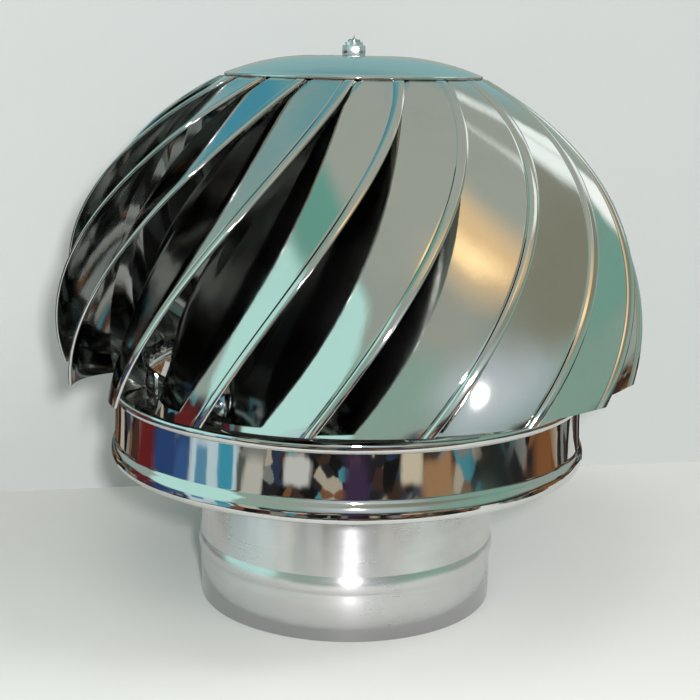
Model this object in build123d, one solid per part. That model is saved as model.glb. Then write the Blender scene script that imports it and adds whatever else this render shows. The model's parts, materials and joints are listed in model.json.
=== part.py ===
from build123d import *
import math
import os

# Roof turbine ventilator. Millimetres, +Z up. The origin is the centre of the neck's lower edge and Z is the
# axis of rotation. Azimuths are counted from the front, which is -Y, towards +X.

# ---- Sheet and fits
sheet = 0.8
shaft_fit = 0.03
seat_fit = 0.02
hole_fit = 0.05
body_gap = 0.3
sleeve_gap = 0.02

# ---- Neck, the fixed spigot
neck_radius = 75.0
neck_height = 106.0
neck_bead_height = 28.0
neck_bead_width = 9.0
neck_bead_rise = 1.3
neck_lip = 4.0

# ---- Skirt ring, the lower ring of the rotor
skirt_radius = 118.6
skirt_bottom = 75.0
skirt_top = 113.5
skirt_bead_rise = 2.3
lower_bead_below = 3.7
lower_bead_above = 5.8
upper_bead_below = 3.9
upper_bead_above = 3.0
collar_radius = 104.0
collar_height = 11.0
collar_bend = 1.5
flange_inset = 1.0

# ---- Blades
blade_count = 18
blade_sweep = 46.0
blade_phase = -5.4
blade_max_radius = 146.4
blade_max_height = 144.3
blade_curve_shift = 18.3
blade_tip_height = 120.6
blade_top_radius = 63.9
blade_top_height = 264.0
mouth_depth_foot = 22.2
mouth_depth_swell = 56.0
mouth_closing = 1.2
face_lag = 20.4
face_lag_top = 16.6
face_lag_fade = 6
face_bow = 3.8
face_bow_top = 0.3
floor_width_foot = 19.0
floor_width_top = 2.6
floor_width_swell = 30.0
floor_slope = 30.0
floor_slope_foot = 62.0
floor_slope_fade = 6
floor_bend = 3.5
hem_width = 4.6
hem_rise = 0.9
blade_sections = 9
foot_tab_angle = 14.5
foot_tab_start = 16.5
foot_tab_height = 10.0
top_tab_depth = 13.5
top_tab_trim = 0.8

# ---- Rivets
rivet_shank = 1.6
rivet_head = 3.2
rivet_head_rise = 1.3
rivet_tail = 2.5
rivet_tail_end = 1.5
rivet_tail_rise = 1.6
rivet_drill = 6.4
rivet_seat = 0.06
foot_rivet_lags = (20.0, 28.8)
foot_rivet_height = 5.5
crown_rivet_inset = 7.5

# ---- Crown plate and top disc
crown_thickness = 1.5
crown_edge_inset = 3.6
crown_rib_radius = 34.0
crown_rib_width = 10.0
crown_rib_rise = 2.0
disc_radius = 63.3
disc_rise = 7.6
disc_edge_bend = 1.0
disc_edge_drop = 0.5
disc_edge_height = 1.4

# ---- Shaft and what is threaded on it
shaft_radius = 5.0
journal_radius = 4.0
stud_radius = 3.0
shaft_tail = 18.0
shaft_chamfer = 0.6
hub_washer_radius = 18.0
hub_washer_thickness = 3.0
spacer_sleeve_radius = 6.0
seal_radius = 5.4
seal_thickness = 0.8
cap_nut_flats = 10.0
cap_nut_hex_height = 5.2
cap_nut_height = 11.0
cap_nut_dome_radius = 4.3
cap_nut_wall = 1.4
cap_nut_cone_radius = 7.8
tail_washer_radius = 8.0
tail_washer_thickness = 1.6
tail_nut_flats = 13.0
tail_nut_corner = 7.15
tail_nut_height = 8.0

# ---- Bearings
bearing_bore = 4.0
bearing_outer = 11.0
bearing_width = 7.0
race_land_inner = 6.05
race_land_outer = 9.3
ball_radius = 1.98
ball_count = 7
ball_gap = 0.06
cage_thickness = 0.9
cage_height = 5.4
cage_pocket_gap = 0.12
spacer_tube_radius = 5.9

# ---- Bearing housing and bridges
housing_top = 104.0
housing_length = 32.0
housing_radius = 14.5
housing_shoulder_radius = 9.6
housing_flange_radius = 23.0
housing_flange_thickness = 3.0
bridge_width = 20.0
bridge_thickness = 2.0
bridge_eye_radius = 24.0
bridge_tab_height = 14.0
lower_bridge_rise = 4.0
bridge_rivet_spread = 11.0
screw_circle = 18.5
screw_radius = 2.0
screw_head_radius = 3.5
screw_head_height = 2.8
screw_nut_flats = 7.0
screw_nut_height = 3.2
screw_end = 1.2
screw_count = 4
screw_turn = 45.0
slinger_flare = 4.0
slinger_drop = 4.0
slinger_hub_radius = 8.0
slinger_hub_height = 5.0

# ---- Places that follow from the sizes above
neck_inner = neck_radius - sheet
crown_top = blade_top_height - sheet
crown_bottom = crown_top - crown_thickness
hub_washer_bottom = crown_bottom - hub_washer_thickness
disc_edge_bottom = blade_top_height + body_gap
disc_edge_top = disc_edge_bottom + disc_edge_height
disc_top = disc_edge_top + disc_rise
housing_bottom = housing_top - housing_length
upper_bearing_bottom = housing_top - bearing_width
lower_bearing_bottom = housing_bottom
upper_bridge_top = housing_top - housing_flange_thickness
lower_bridge_top = housing_bottom + lower_bridge_rise
shaft_shoulder = housing_top
ball_circle = (race_land_inner + race_land_outer) / 2
blade_pitch = 360 / blade_count
centred = (Align.CENTER, Align.CENTER, Align.MIN)


def tube(outer, inner, bottom, height):
    """A plain ring about the Z axis."""
    body = Cylinder(outer, height, align=centred) - Cylinder(inner, height, align=centred)
    return Pos(0, 0, bottom) * body


def rod(radius, bottom, height):
    """A plain cylinder about the Z axis."""
    return Pos(0, 0, bottom) * Cylinder(radius, height, align=centred)


def revolved_sheet(path, thickness):
    """A pressed sheet: its outer line, in the XZ plane, thickened to the right and turned about Z."""
    outline = offset(path, amount=thickness, side=Side.RIGHT, kind=Kind.INTERSECTION)
    return revolve(make_face(Plane.XZ * outline), Axis.Z)


def plan_point(radius, azimuth):
    """A point in plan, from its radius and its azimuth in degrees."""
    angle = math.radians(azimuth)
    return Vector(radius * math.sin(angle), -radius * math.cos(angle), 0)


def facing(azimuth):
    """The turn that brings the front to an azimuth."""
    return Rot(0, 0, azimuth)


def hexagon(flats, height, bottom):
    """A hexagonal prism about the Z axis."""
    return Pos(0, 0, bottom) * extrude(RegularPolygon(flats / 2, 6, major_radius=False), height)


def rivet(grip):
    """A blind rivet along Z: domed head above z = 0, shank through the grip, bulb below it."""
    seat = grip + rivet_seat
    curve = (rivet_head ** 2 + rivet_head_rise ** 2) / (2 * rivet_head_rise)
    half = math.asin(rivet_head / curve) / 2
    middle = (curve * math.sin(half), rivet_head_rise - curve * (1 - math.cos(half)))
    head_line = ThreePointArc((rivet_head, 0), middle, (0, rivet_head_rise))
    outline = head_line + Polyline(
        (0, rivet_head_rise),
        (0, -seat - rivet_tail_rise),
        (rivet_tail_end, -seat - rivet_tail_rise),
        (rivet_tail, -seat),
        (rivet_shank, -seat),
        (rivet_shank, 0),
        (rivet_head, 0),
    )
    return revolve(make_face(Plane.XZ * outline), Axis.Z)


# ---- Fixed pieces

def neck_tube():
    bead_low = neck_bead_height - neck_bead_width / 2
    bead_high = neck_bead_height + neck_bead_width / 2
    wall = Line((neck_radius, neck_height - neck_lip), (neck_radius, bead_high))
    bead = ThreePointArc(
        (neck_radius, bead_high),
        (neck_radius + neck_bead_rise, neck_bead_height),
        (neck_radius, bead_low),
    )
    foot = Line((neck_radius, bead_low), (neck_radius, 0))
    rim = (neck_radius + neck_lip, neck_height)
    lip = RadiusArc(rim, (neck_radius, neck_height - neck_lip), -neck_lip)
    body = revolved_sheet(lip + wall + bead + foot, sheet)
    for hole in bridge_rivet_places():
        body -= hole * Cylinder(rivet_shank + hole_fit, rivet_drill)
    return body


def bridge_rivet_places():
    """The rivets that hold the two bridges, as places whose Z points out of the neck."""
    places = []
    for top, turn in ((upper_bridge_top, 90), (lower_bridge_top, 0)):
        height = top - bridge_thickness - bridge_tab_height / 2
        for side in (0, 180):
            for half in (-1, 1):
                swing = math.degrees(half * bridge_rivet_spread / 2 / neck_radius)
                places.append(
                    facing(turn + side + swing) * Pos(0, -neck_radius, height) * Rot(90, 0, 0)
                )
    return places


def bridge_rivets():
    grip = sheet + bridge_thickness
    return Compound(children=[place * rivet(grip) for place in bridge_rivet_places()])


def bridge(top, turn, screw_holes):
    """A strap across the neck with a round eye at its middle and down-turned ends."""
    bottom = top - bridge_thickness
    strap = Pos(0, 0, bottom) * Box(bridge_width, 2 * neck_radius, bridge_thickness, align=centred)
    ends = tube(neck_inner, neck_inner - bridge_thickness, bottom - bridge_tab_height, bridge_tab_height)
    ends &= Pos(0, 0, bottom - bridge_tab_height) * Box(
        bridge_width, 2 * neck_radius, bridge_tab_height, align=centred
    )
    body = (strap & rod(neck_inner, bottom, bridge_thickness)) + ends
    body += rod(bridge_eye_radius, bottom, bridge_thickness)
    body -= rod(housing_radius + hole_fit, bottom, bridge_thickness)
    body = facing(turn) * body
    for hole in bridge_rivet_places():
        body -= hole * Cylinder(rivet_shank + hole_fit, rivet_drill)
    if screw_holes:
        for place in screw_places():
            body -= place * rod(screw_radius + hole_fit, bottom, bridge_thickness)
    return body


def screw_places():
    step = 360 / screw_count
    return [facing(screw_turn + i * step) * Pos(0, -screw_circle, 0) for i in range(screw_count)]


def bearing_housing():
    """A tube with a bearing seat at each end, and a flange that sits on the upper bridge."""
    body = tube(housing_radius, housing_shoulder_radius, housing_bottom, housing_length)
    body += tube(housing_flange_radius, housing_radius, upper_bridge_top, housing_flange_thickness)
    for bottom in (lower_bearing_bottom, upper_bearing_bottom):
        body -= rod(bearing_outer + seat_fit, bottom, bearing_width)
    for place in screw_places():
        body -= place * rod(screw_radius + hole_fit, upper_bridge_top, housing_flange_thickness)
    return body


def housing_screws():
    """Screws down through the flange and the upper bridge."""
    length = housing_flange_thickness + bridge_thickness + screw_nut_height + screw_end
    head = hexagon(2 * screw_head_radius, screw_head_height, housing_top)
    screw = head + rod(screw_radius, housing_top - length, length)
    return Compound(children=[place * screw for place in screw_places()])


def housing_nuts():
    bottom = upper_bridge_top - bridge_thickness - screw_nut_height
    nut = hexagon(screw_nut_flats, screw_nut_height, bottom) - rod(
        screw_radius + hole_fit, bottom, screw_nut_height
    )
    return Compound(children=[place * nut for place in screw_places()])


# ---- Bearings

def race_groove(bottom):
    """The ring of space that the balls need between the two races."""
    ring_line = Circle(ball_radius + ball_gap)
    middle = bottom + bearing_width / 2
    return revolve(Plane.XZ * Pos(ball_circle, middle) * ring_line, Axis.Z)


def outer_race(bottom):
    return tube(bearing_outer, race_land_outer, bottom, bearing_width) - race_groove(bottom)


def inner_race(bottom):
    return tube(race_land_inner, bearing_bore + shaft_fit, bottom, bearing_width) - race_groove(bottom)


def ball_places(bottom):
    middle = bottom + bearing_width / 2
    return [facing(i * 360 / ball_count) * Pos(0, -ball_circle, middle) for i in range(ball_count)]


def balls(bottom):
    return Compound(children=[place * Sphere(ball_radius) for place in ball_places(bottom)])


def cage(bottom):
    """The ring that spaces the balls."""
    low = bottom + (bearing_width - cage_height) / 2
    body = tube(ball_circle + cage_thickness / 2, ball_circle - cage_thickness / 2, low, cage_height)
    for place in ball_places(bottom):
        body -= place * Sphere(ball_radius + cage_pocket_gap)
    return body


# ---- Rotor: what turns with the shaft

def shaft():
    """A turned shaft: bearing journal below, body above its shoulder, stud for the cap nut on top."""
    tail_bottom = housing_bottom - shaft_tail
    stud_top = disc_top + seal_thickness + cap_nut_height - 2 * cap_nut_wall
    body = rod(journal_radius, tail_bottom, shaft_shoulder - tail_bottom)
    body += rod(shaft_radius, shaft_shoulder, hub_washer_bottom - shaft_shoulder)
    body += rod(stud_radius, hub_washer_bottom, stud_top - hub_washer_bottom)
    ends = body.edges().filter_by(GeomType.CIRCLE).sort_by(Axis.Z)
    return chamfer([ends[0], ends[-1]], shaft_chamfer)


def spacer_tube():
    """Between the two inner races."""
    bottom = lower_bearing_bottom + bearing_width
    return tube(spacer_tube_radius, journal_radius + shaft_fit, bottom, upper_bearing_bottom - bottom)


def tail_washer():
    bottom = housing_bottom - tail_washer_thickness
    return tube(tail_washer_radius, journal_radius + hole_fit, bottom, tail_washer_thickness)


def tail_nut():
    bottom = housing_bottom - tail_washer_thickness - tail_nut_height
    body = hexagon(tail_nut_flats, tail_nut_height, bottom)
    rounding = rod(tail_nut_corner, bottom, tail_nut_height)
    return (body & rounding) - rod(journal_radius + hole_fit, bottom, tail_nut_height)


def slinger():
    """A cup on the shaft that throws rain clear of the upper bearing."""
    bottom = housing_top + screw_head_height + body_gap
    cup = Polyline(
        (slinger_hub_radius, bottom + slinger_drop + sheet),
        (housing_flange_radius + body_gap + sheet, bottom + slinger_drop + sheet),
        (housing_flange_radius + slinger_flare, bottom),
    )
    hub = tube(slinger_hub_radius, shaft_radius + hole_fit, bottom + slinger_drop, slinger_hub_height)
    return revolved_sheet(cup, sheet) + hub


def hub_washer():
    return tube(hub_washer_radius, stud_radius + hole_fit, hub_washer_bottom, hub_washer_thickness)


def crown_edge_radius():
    return blade_top_radius - crown_edge_inset


def crown_rivet_places():
    mid_face = blade_phase + blade_sweep - face_lag_top / 2
    radius = blade_top_radius - crown_rivet_inset
    return [
        facing(mid_face + i * blade_pitch) * Pos(0, -radius, blade_top_height)
        for i in range(blade_count)
    ]


def crown_plate():
    """The pressed plate that carries the tops of the blades."""
    rib_in = crown_rib_radius - crown_rib_width / 2
    rib_out = crown_rib_radius + crown_rib_width / 2
    path = Line((stud_radius + hole_fit, crown_top), (rib_in, crown_top))
    rib_crest = (crown_rib_radius, crown_top + crown_rib_rise)
    path += ThreePointArc((rib_in, crown_top), rib_crest, (rib_out, crown_top))
    path += Line((rib_out, crown_top), (crown_edge_radius(), crown_top))
    body = revolved_sheet(path, crown_thickness)
    for place in crown_rivet_places():
        body -= place * Cylinder(rivet_shank + hole_fit, rivet_drill)
    return body


def crown_rivets():
    grip = sheet + crown_thickness
    return Compound(children=[place * rivet(grip) for place in crown_rivet_places()])


def disc_curve_radius():
    span = disc_radius - disc_edge_bend
    return (span ** 2 + disc_rise ** 2) / (2 * disc_rise)


def disc_height(radius):
    """Height of the top disc's outer face at a radius."""
    curve = disc_curve_radius()
    return disc_top - curve + math.sqrt(curve ** 2 - radius ** 2)


def top_disc():
    """A shallow dome with a down-turned edge."""
    hole = stud_radius + hole_fit
    bend_start = disc_radius - disc_edge_bend
    middle = (hole + bend_start) / 2
    dome = ThreePointArc(
        (hole, disc_height(hole)), (middle, disc_height(middle)), (bend_start, disc_height(bend_start))
    )
    corner = Polyline(
        (bend_start, disc_height(bend_start)),
        (disc_radius, disc_edge_top - disc_edge_drop),
        (disc_radius, disc_edge_bottom),
    )
    return revolved_sheet(dome + corner, sheet)


def spacer_sleeve():
    """Between the crown plate and the top disc."""
    under_disc = disc_height(spacer_sleeve_radius) - sheet - sleeve_gap
    return tube(spacer_sleeve_radius, stud_radius + hole_fit, crown_top, under_disc - crown_top)


def seal_washer():
    return tube(seal_radius, stud_radius + hole_fit, disc_top, seal_thickness)


def cap_nut():
    """A domed nut: hexagon below, round dome above, blind inside."""
    bottom = disc_top + seal_thickness
    dome_base = cap_nut_height - cap_nut_dome_radius
    hex_part = hexagon(cap_nut_flats, cap_nut_hex_height, bottom)
    cone = Pos(0, 0, bottom) * Cone(cap_nut_cone_radius, cap_nut_dome_radius, cap_nut_height, align=centred)
    dome = rod(cap_nut_dome_radius, bottom, dome_base)
    dome += Pos(0, 0, bottom + dome_base) * Sphere(cap_nut_dome_radius)
    bore = rod(stud_radius + hole_fit, bottom, cap_nut_height - cap_nut_wall)
    return (hex_part & cone) + dome - bore


def skirt_ring():
    """The beaded lower ring, with the flange and the standing collar that carry the blade feet."""
    crest = skirt_radius + skirt_bead_rise
    upper_crest = skirt_top - upper_bead_above
    lower_crest = skirt_bottom + lower_bead_below
    flange_end = skirt_radius - flange_inset
    collar = FilletPolyline(
        (collar_radius, skirt_top + collar_height),
        (collar_radius, skirt_top),
        (flange_end, skirt_top),
        radius=collar_bend,
    )
    wall_top = (skirt_radius, upper_crest - upper_bead_below)
    wall_foot = (skirt_radius, lower_crest + lower_bead_above)
    upper_bead = ThreePointArc((flange_end, skirt_top), (crest, upper_crest), wall_top)
    wall = Line(wall_top, wall_foot)
    lower_bead = ThreePointArc(wall_foot, (crest, lower_crest), (skirt_radius + sheet, skirt_bottom))
    body = revolved_sheet(collar + upper_bead + wall + lower_bead, sheet)
    for place in foot_rivet_places():
        body -= place * Cylinder(rivet_shank + hole_fit, rivet_drill)
    return body


def foot_rivet_places(blades=blade_count):
    """The rivets through the blade feet and the collar, as places whose Z points outwards."""
    height = skirt_top + foot_rivet_height
    places = []
    for i in range(blades):
        for lag in foot_rivet_lags:
            azimuth = blade_phase + i * blade_pitch - lag
            places.append(facing(azimuth) * Pos(0, -collar_radius - sheet, height) * Rot(90, 0, 0))
    return places


def foot_rivets():
    return Compound(children=[place * rivet(2 * sheet) for place in foot_rivet_places()])


# ---- The blades: swirl strips between the skirt ring and the crown plate

def curve_half_width():
    return blade_max_radius + blade_curve_shift


def curve_half_height():
    """The ellipse passes through the blade's top, so its height follows from the top's place."""
    share = (blade_top_radius + blade_curve_shift) / curve_half_width()
    return (blade_top_height - blade_max_height) / math.sqrt(1 - share ** 2)


def curve_angle(height):
    """The angle on the blade's ellipse at a height, in degrees."""
    return math.degrees(math.asin((height - blade_max_height) / curve_half_height()))


def outer_radius(height):
    return curve_half_width() * math.cos(math.radians(curve_angle(height))) - blade_curve_shift


def blade_share(height):
    """0 at the blade's foot and 1 at its top, even along its ellipse."""
    foot = curve_angle(skirt_top)
    return (curve_angle(height) - foot) / (curve_angle(blade_top_height) - foot)


def hem_azimuth(height):
    """The outer edge turns evenly from the tip to the top."""
    tip = curve_angle(blade_tip_height)
    return blade_sweep * (curve_angle(height) - tip) / (curve_angle(blade_top_height) - tip)


def section_lines(height):
    """A blade at one height: hem edge, bend and floor edge in plan, the face's bow, the level thickness."""
    share = blade_share(height)
    depth = (1 - share) ** mouth_closing * (mouth_depth_foot + mouth_depth_swell * share)
    lag = face_lag + (face_lag_top - face_lag) * share ** face_lag_fade
    bow = face_bow + (face_bow_top - face_bow) * share
    width = floor_width_foot * (1 - share) + floor_width_top * share
    width += floor_width_swell * share * (1 - share) ** 2
    hem = plan_point(outer_radius(height), hem_azimuth(height))
    bend_azimuth = hem_azimuth(height) - lag
    bend = plan_point(outer_radius(height) - depth, bend_azimuth)
    inwards = bend.normalized() * -1
    backwards = plan_point(1, bend_azimuth - 90)
    slope = math.radians(floor_slope + (floor_slope_foot - floor_slope) * (1 - share) ** floor_slope_fade)
    floor = bend + (backwards * math.cos(slope) + inwards * math.sin(slope)) * width
    lean = math.tan(math.radians(curve_angle(height))) * curve_half_width() / curve_half_height()
    return hem, bend, floor, bow, sheet * math.sqrt(1 + lean ** 2)


def beside(start, end, distance):
    """The step to the outer side of a line in plan, square to it."""
    along = (end - start).normalized()
    return Vector(along.Y, -along.X, 0) * distance


def corner_beside(first, corner, last, distance):
    """The corner of a line that runs parallel to a bent line."""
    one = (corner - first).normalized()
    two = (last - corner).normalized()
    half = one.get_angle(two) / 2
    middle = (beside(first, corner, 1) + beside(corner, last, 1)).normalized()
    return corner + middle * (distance / math.cos(math.radians(half)))


def blade_section(height):
    """The closed outline of a blade at one height: hem, bowed face, bend and floor."""
    hem, bend, floor, bow, thickness = section_lines(height)
    along = (bend - hem + beside(hem, bend, -4 * bow)).normalized()
    rise = beside(hem, hem + along, -hem_rise * thickness / sheet)
    face_start = hem + along * hem_width
    middle = (hem + bend) / 2 + beside(hem, bend, -bow)
    inner_middle = middle + beside(hem, bend, thickness)
    inner_hem = hem + beside(hem, bend, thickness)
    inner_bend = corner_beside(middle, bend, floor, thickness)
    inner_floor = floor + beside(bend, floor, thickness)
    outline = ThreePointArc(face_start, middle, bend)
    outline += Polyline(bend, floor, inner_floor, inner_bend)
    outline += ThreePointArc(inner_bend, inner_middle, inner_hem)
    outline += Polyline(inner_hem, hem + rise, face_start + rise, face_start)
    section = make_face(outline)
    section = fillet(section.vertices().sort_by_distance(bend)[:1], floor_bend)
    section = fillet(section.vertices().sort_by_distance(inner_bend)[:1], floor_bend + thickness)
    return Pos(0, 0, height) * section


def foot_trim():
    """What the blades leave free: the ring's collar, and all that lies under their sloping lower edges."""
    tip_radius = outer_radius(blade_tip_height)
    outline = Polyline(
        (0, skirt_top + foot_tab_height + collar_height),
        (collar_radius, skirt_top + foot_tab_height + collar_height),
        (collar_radius, skirt_top + collar_bend),
        (collar_radius + collar_bend, skirt_top),
        (skirt_radius, skirt_top),
        (tip_radius, blade_tip_height),
        (2 * tip_radius, blade_tip_height),
        (2 * tip_radius, 0),
        (0, 0),
        close=True,
    )
    return revolve(make_face(Plane.XZ * outline), Axis.Z)


def sector(outer, inner, bottom, height, start, sweep):
    """A piece of a ring between two azimuths."""
    top = bottom + height
    flat = Polyline((inner, bottom), (outer, bottom), (outer, top), (inner, top), close=True)
    turned = revolve(make_face(Plane.XZ * flat), Axis.Z, sweep)
    return Rot(0, 0, start - 90) * turned


def swirl_blade():
    """One blade, with its tip in front of the axis."""
    low = curve_angle(skirt_top)
    high = curve_angle(blade_top_height)
    sections = []
    for i in range(blade_sections):
        angle = low + (high - low) * i / (blade_sections - 1)
        height = blade_max_height + curve_half_height() * math.sin(math.radians(angle))
        sections.append(blade_section(height))
    body = loft(sections)
    body += sector(
        collar_radius + sheet,
        collar_radius,
        skirt_top + sheet,
        foot_tab_height,
        -foot_tab_start - foot_tab_angle,
        foot_tab_angle,
    )
    top_width = face_lag_top - 2 * top_tab_trim
    body += sector(
        blade_top_radius - hem_rise,
        blade_top_radius - top_tab_depth,
        blade_top_height - sheet,
        sheet,
        blade_sweep - face_lag_top + top_tab_trim,
        top_width,
    )
    body -= foot_trim()
    body = facing(blade_phase) * body
    for place in foot_rivet_places(1):
        body -= place * Cylinder(rivet_shank + hole_fit, rivet_drill)
    body -= crown_rivet_places()[0] * Cylinder(rivet_shank + hole_fit, rivet_drill)
    return body


def save(shape, node):
    export_step(shape, f"parts/{node}.step")


def main():
    os.makedirs("parts", exist_ok=True)
    save(neck_tube(), "neck_tube")
    save(bridge(upper_bridge_top, 90, True), "upper_bridge")
    save(bridge(lower_bridge_top, 0, False), "lower_bridge")
    save(bridge_rivets(), "bridge_rivets")
    save(bearing_housing(), "bearing_housing")
    save(housing_screws(), "housing_screws")
    save(housing_nuts(), "housing_nuts")
    for name, bottom in (("upper", upper_bearing_bottom), ("lower", lower_bearing_bottom)):
        save(outer_race(bottom), f"{name}_outer_race")
        save(inner_race(bottom), f"{name}_inner_race")
        save(balls(bottom), f"{name}_balls")
        save(cage(bottom), f"{name}_cage")
    save(shaft(), "shaft")
    save(spacer_tube(), "spacer_tube")
    save(tail_washer(), "tail_washer")
    save(tail_nut(), "tail_nut")
    save(slinger(), "slinger")
    save(hub_washer(), "hub_washer")
    save(crown_plate(), "crown_plate")
    save(crown_rivets(), "crown_rivets")
    save(spacer_sleeve(), "spacer_sleeve")
    save(top_disc(), "top_disc")
    save(seal_washer(), "seal_washer")
    save(cap_nut(), "cap_nut")
    save(skirt_ring(), "skirt_ring")
    save(foot_rivets(), "foot_rivets")
    blade = swirl_blade()
    for i in range(blade_count):
        save(facing(i * blade_pitch) * blade, f"blade_{i + 1:02d}")


main()
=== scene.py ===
import json
import math
import bmesh
import bpy
from mathutils import Matrix, Vector


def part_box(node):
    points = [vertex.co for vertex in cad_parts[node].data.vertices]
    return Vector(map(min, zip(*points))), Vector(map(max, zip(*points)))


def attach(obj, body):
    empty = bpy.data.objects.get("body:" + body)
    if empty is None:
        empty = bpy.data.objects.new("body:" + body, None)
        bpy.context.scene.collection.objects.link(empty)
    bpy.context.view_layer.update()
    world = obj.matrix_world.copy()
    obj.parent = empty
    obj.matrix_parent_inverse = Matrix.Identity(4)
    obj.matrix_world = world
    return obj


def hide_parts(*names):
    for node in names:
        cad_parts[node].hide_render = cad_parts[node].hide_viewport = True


bl_info = {
    "name": "Swirl Cowl Dressing",
    "version": (1, 0, 0),
    "blender": (4, 5, 0),
    "location": "3D Viewport > Sidebar > Cowl",
    "description": "Sheet-metal pieces, steel materials and a plain stage for a rotating roof cowl",
    "category": "Object",
}

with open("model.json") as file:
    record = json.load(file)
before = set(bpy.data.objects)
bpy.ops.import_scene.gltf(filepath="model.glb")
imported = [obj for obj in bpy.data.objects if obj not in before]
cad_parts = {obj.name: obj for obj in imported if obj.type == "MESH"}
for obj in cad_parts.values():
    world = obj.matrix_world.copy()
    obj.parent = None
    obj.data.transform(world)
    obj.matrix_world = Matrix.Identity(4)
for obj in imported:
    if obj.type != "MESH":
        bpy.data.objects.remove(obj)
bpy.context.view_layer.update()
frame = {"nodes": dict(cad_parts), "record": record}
MM = 0.001
BLADES = sorted(name for name in frame["nodes"] if name.startswith("blade_"))


# ---- Sizes and colours a user would change

class CowlSizes(bpy.types.PropertyGroup):
    """Sizes of the sheet-metal pieces, the same as the solids'."""
    sheet: bpy.props.FloatProperty(
        name="Sheet", description="Thickness of the sheet", default=0.8 * MM, unit="LENGTH")
    sweep: bpy.props.FloatProperty(
        name="Sweep", description="How far a hem turns about the axis from its tip to its top",
        default=math.radians(46.0), subtype="ANGLE")
    phase: bpy.props.FloatProperty(
        name="Phase", description="Azimuth of the first blade's tip from the front",
        default=math.radians(-5.4), subtype="ANGLE")
    max_radius: bpy.props.FloatProperty(
        name="Largest radius", description="Largest radius of the hems", default=146.4 * MM, unit="LENGTH")
    max_height: bpy.props.FloatProperty(
        name="Height of largest radius", description="Where the hems are widest apart",
        default=144.3 * MM, unit="LENGTH")
    curve_shift: bpy.props.FloatProperty(
        name="Curve shift", description="How far the ellipse's middle lies beyond the axis",
        default=18.3 * MM, unit="LENGTH")
    tip_height: bpy.props.FloatProperty(
        name="Tip height", description="Height of a blade's lower tip", default=120.6 * MM, unit="LENGTH")
    top_radius: bpy.props.FloatProperty(
        name="Top radius", description="Radius of the hems at their tops", default=63.9 * MM, unit="LENGTH")
    top_height: bpy.props.FloatProperty(
        name="Top height", description="Height of the blades' tops", default=264.0 * MM, unit="LENGTH")
    skirt_top: bpy.props.FloatProperty(
        name="Skirt top", description="Height of the skirt ring's flange",
        default=113.5 * MM, unit="LENGTH")
    skirt_radius: bpy.props.FloatProperty(
        name="Skirt radius", description="Radius of the skirt ring's wall",
        default=118.6 * MM, unit="LENGTH")
    collar_radius: bpy.props.FloatProperty(
        name="Collar radius", description="Radius of the collar that carries the feet",
        default=104.0 * MM, unit="LENGTH")
    hem_width: bpy.props.FloatProperty(
        name="Hem width", description="Width of the folded hem", default=4.6 * MM, unit="LENGTH")
    hem_rise: bpy.props.FloatProperty(
        name="Hem rise", description="How far the hem stands above the face",
        default=0.9 * MM, unit="LENGTH")
    bend: bpy.props.FloatProperty(
        name="Bend", description="Radius of the bend between face and floor",
        default=3.5 * MM, unit="LENGTH")
    levels: bpy.props.IntProperty(
        name="Levels", description="Rows of faces up a blade", default=72, min=12, max=160)
    columns: bpy.props.IntProperty(
        name="Columns", description="Rows of faces across a blade's bowed face", default=9, min=4, max=24)
    turns: bpy.props.IntProperty(
        name="Steps round", description="Faces round a turned piece", default=160, min=24, max=360)


class CowlColours(bpy.types.PropertyGroup):
    """Colours of the finishes and of the stage."""
    mirror: bpy.props.FloatVectorProperty(
        name="Mirror steel", description="Colour of the bright sheet", subtype="COLOR", size=4,
        default=(0.66, 0.665, 0.65, 1.0), min=0.0, max=1.0)
    satin: bpy.props.FloatVectorProperty(
        name="Satin steel", description="Colour of the neck", subtype="COLOR", size=4,
        default=(0.74, 0.735, 0.74, 1.0), min=0.0, max=1.0)
    zinc: bpy.props.FloatVectorProperty(
        name="Zinc", description="Colour of the plated nuts and screws", subtype="COLOR", size=4,
        default=(0.70, 0.76, 0.80, 1.0), min=0.0, max=1.0)
    brass: bpy.props.FloatVectorProperty(
        name="Brass", description="Colour of the bearing cages", subtype="COLOR", size=4,
        default=(0.66, 0.50, 0.22, 1.0), min=0.0, max=1.0)
    rubber: bpy.props.FloatVectorProperty(
        name="Rubber", description="Colour of the seal", subtype="COLOR", size=4,
        default=(0.018, 0.018, 0.020, 1.0), min=0.0, max=1.0)
    wall: bpy.props.FloatVectorProperty(
        name="Wall", description="Colour of the wall", subtype="COLOR", size=4,
        default=(0.545, 0.555, 0.560, 1.0), min=0.0, max=1.0)
    backdrop: bpy.props.FloatVectorProperty(
        name="Backdrop", description="Colour seen past the wall and floor", subtype="COLOR", size=4,
        default=(0.686, 0.730, 0.700, 1.0), min=0.0, max=1.0)
    floor: bpy.props.FloatVectorProperty(
        name="Floor", description="Colour of the floor", subtype="COLOR", size=4,
        default=(0.685, 0.68, 0.675, 1.0), min=0.0, max=1.0)


# ---- Shader node groups

def new_group(name, inputs, outputs):
    """An empty shader node group with its sockets, and the nodes for its inputs and outputs."""
    group = bpy.data.node_groups.new(name, "ShaderNodeTree")
    for label, kind, default in inputs:
        socket = group.interface.new_socket(label, in_out="INPUT", socket_type=kind)
        if default is not None:
            socket.default_value = default
    for label, kind in outputs:
        group.interface.new_socket(label, in_out="OUTPUT", socket_type=kind)
    start = group.nodes.new("NodeGroupInput")
    end = group.nodes.new("NodeGroupOutput")
    return group, start, end


def noise(tree, vector, scale, detail=2.0, rough=0.5):
    """Soft noise from 0 to 1."""
    node = tree.nodes.new("ShaderNodeTexNoise")
    node.inputs["Scale"].default_value = scale
    node.inputs["Detail"].default_value = detail
    node.inputs["Roughness"].default_value = rough
    tree.links.new(vector, node.inputs["Vector"])
    return node.outputs["Fac"]


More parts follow.
